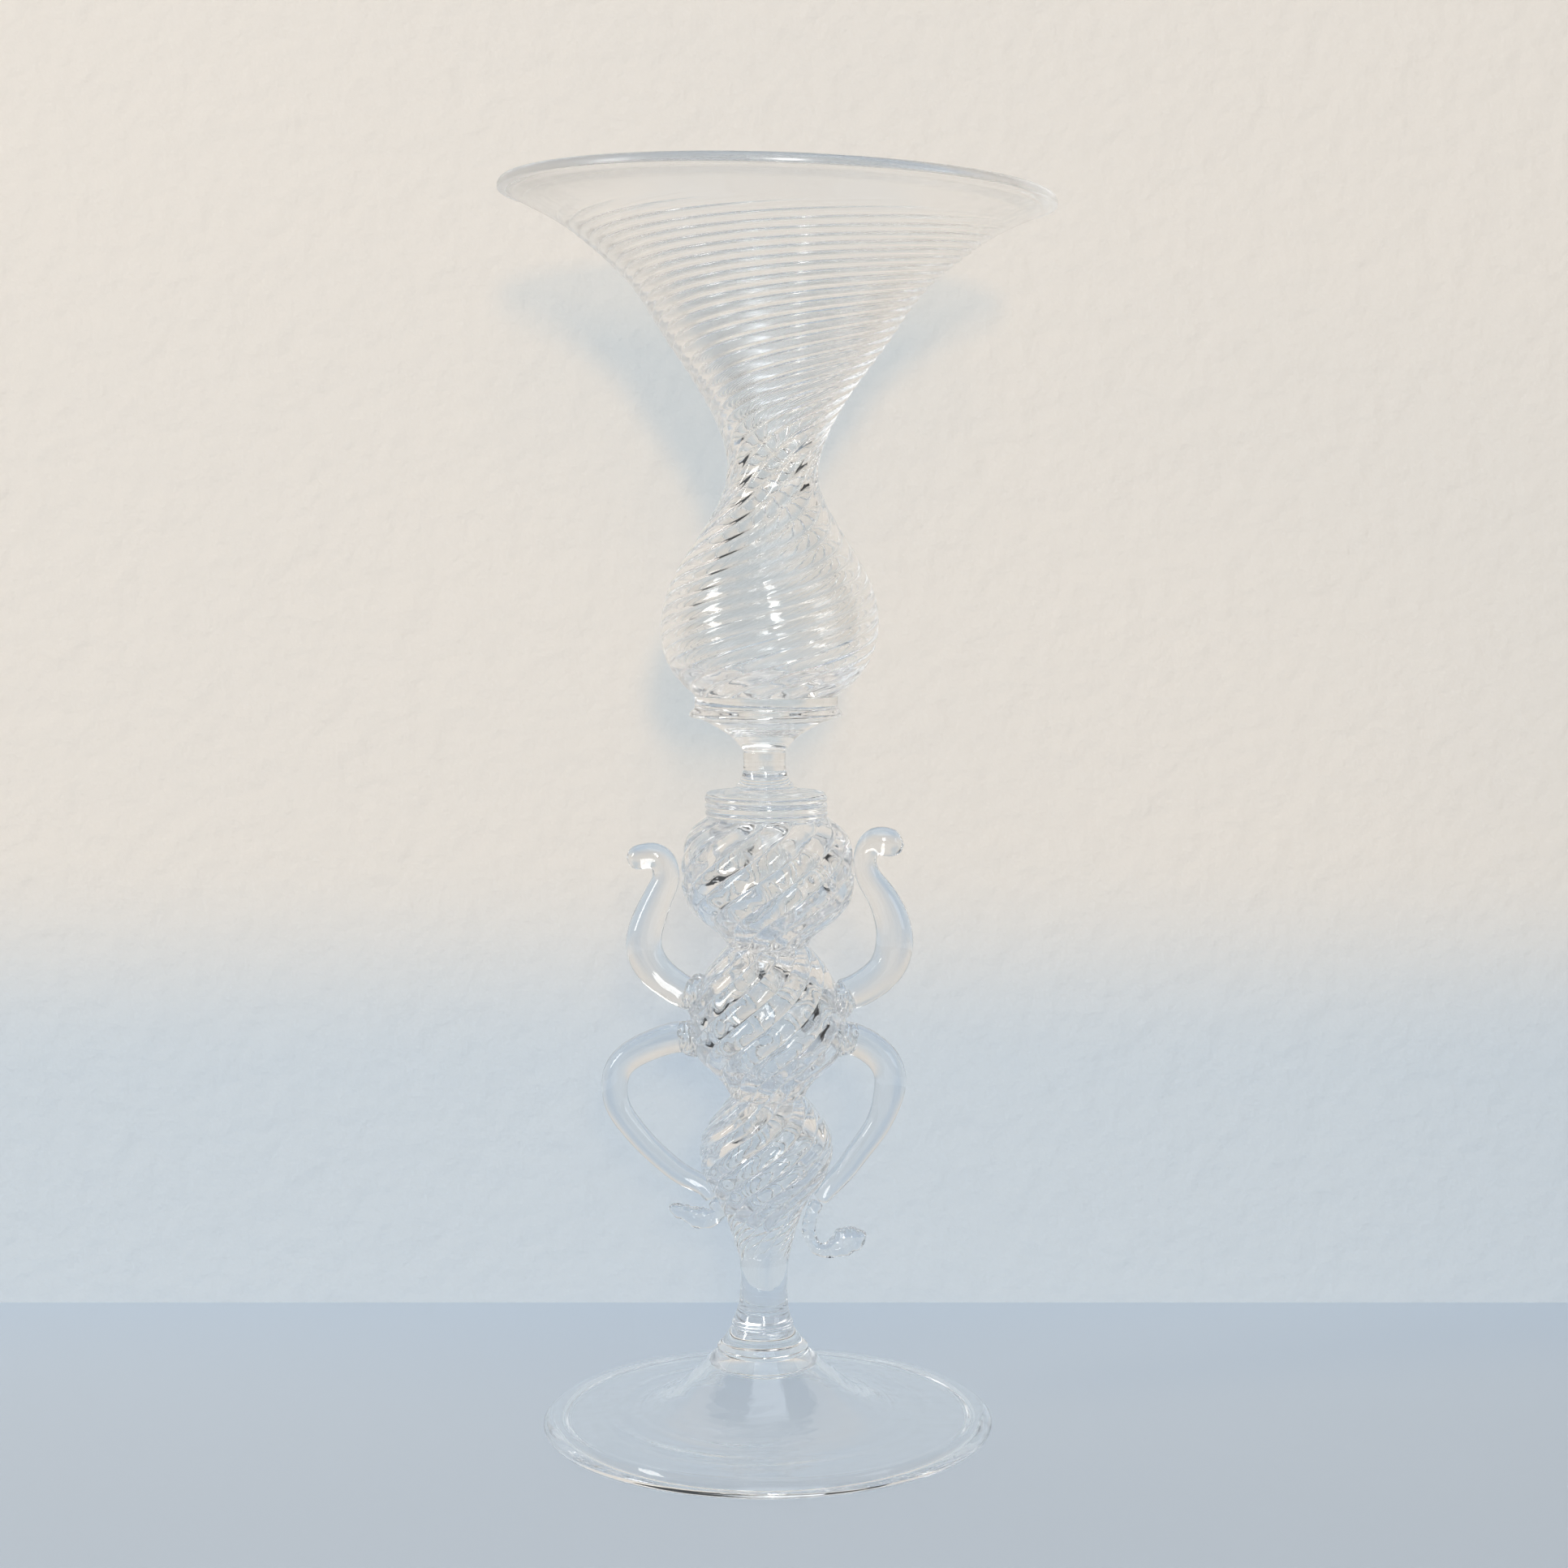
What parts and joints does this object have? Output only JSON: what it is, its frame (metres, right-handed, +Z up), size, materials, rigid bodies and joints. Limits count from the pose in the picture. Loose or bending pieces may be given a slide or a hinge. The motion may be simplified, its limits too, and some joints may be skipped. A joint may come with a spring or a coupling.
{
  "type": "winged goblet",
  "caption": "Tall drinking goblet of clear blown glass with a twisted, ribbed funnel bowl over a bulb, ribbed hollow stem knops, scrolled side wings and a folded cone foot.",
  "frame": {"origin": "centre of the foot's resting ring, on the table plane", "axes": "+Z up along the stem, +X towards the right-hand wings as seen from the front, +Y away from the viewer"},
  "size_m": [0.12, 0.12, 0.2718],
  "materials": {
    "bowl_glass": "clear, thin and slightly warm",
    "knop_glass": "clear, ribbed and sparkling",
    "stem_glass": "clear and polished",
    "trail_glass": "clear and smooth",
    "foot_glass": "clear and smooth with faint swirls"
  },
  "bodies": {
    "root": {"foot": "foot_glass", "foot_post": "foot_glass", "foot_collar": "foot_glass", "stem": "stem_glass", "lower_knop": "knop_glass", "middle_knop": "knop_glass", "upper_knop": "knop_glass", "knop_merese": "stem_glass", "merese_flare": "stem_glass", "spool": "stem_glass", "bowl_merese": "stem_glass", "bowl": "bowl_glass", "wing_upper_left": "trail_glass", "wing_upper_right": "trail_glass", "wing_lower_left": "trail_glass", "wing_lower_right": "trail_glass", "tail_left": "trail_glass", "tail_right": "trail_glass", "pad_upper_left": "trail_glass", "pad_upper_right": "trail_glass", "pad_lower_left": "trail_glass", "pad_lower_right": "trail_glass"}
  },
  "joints": []
}
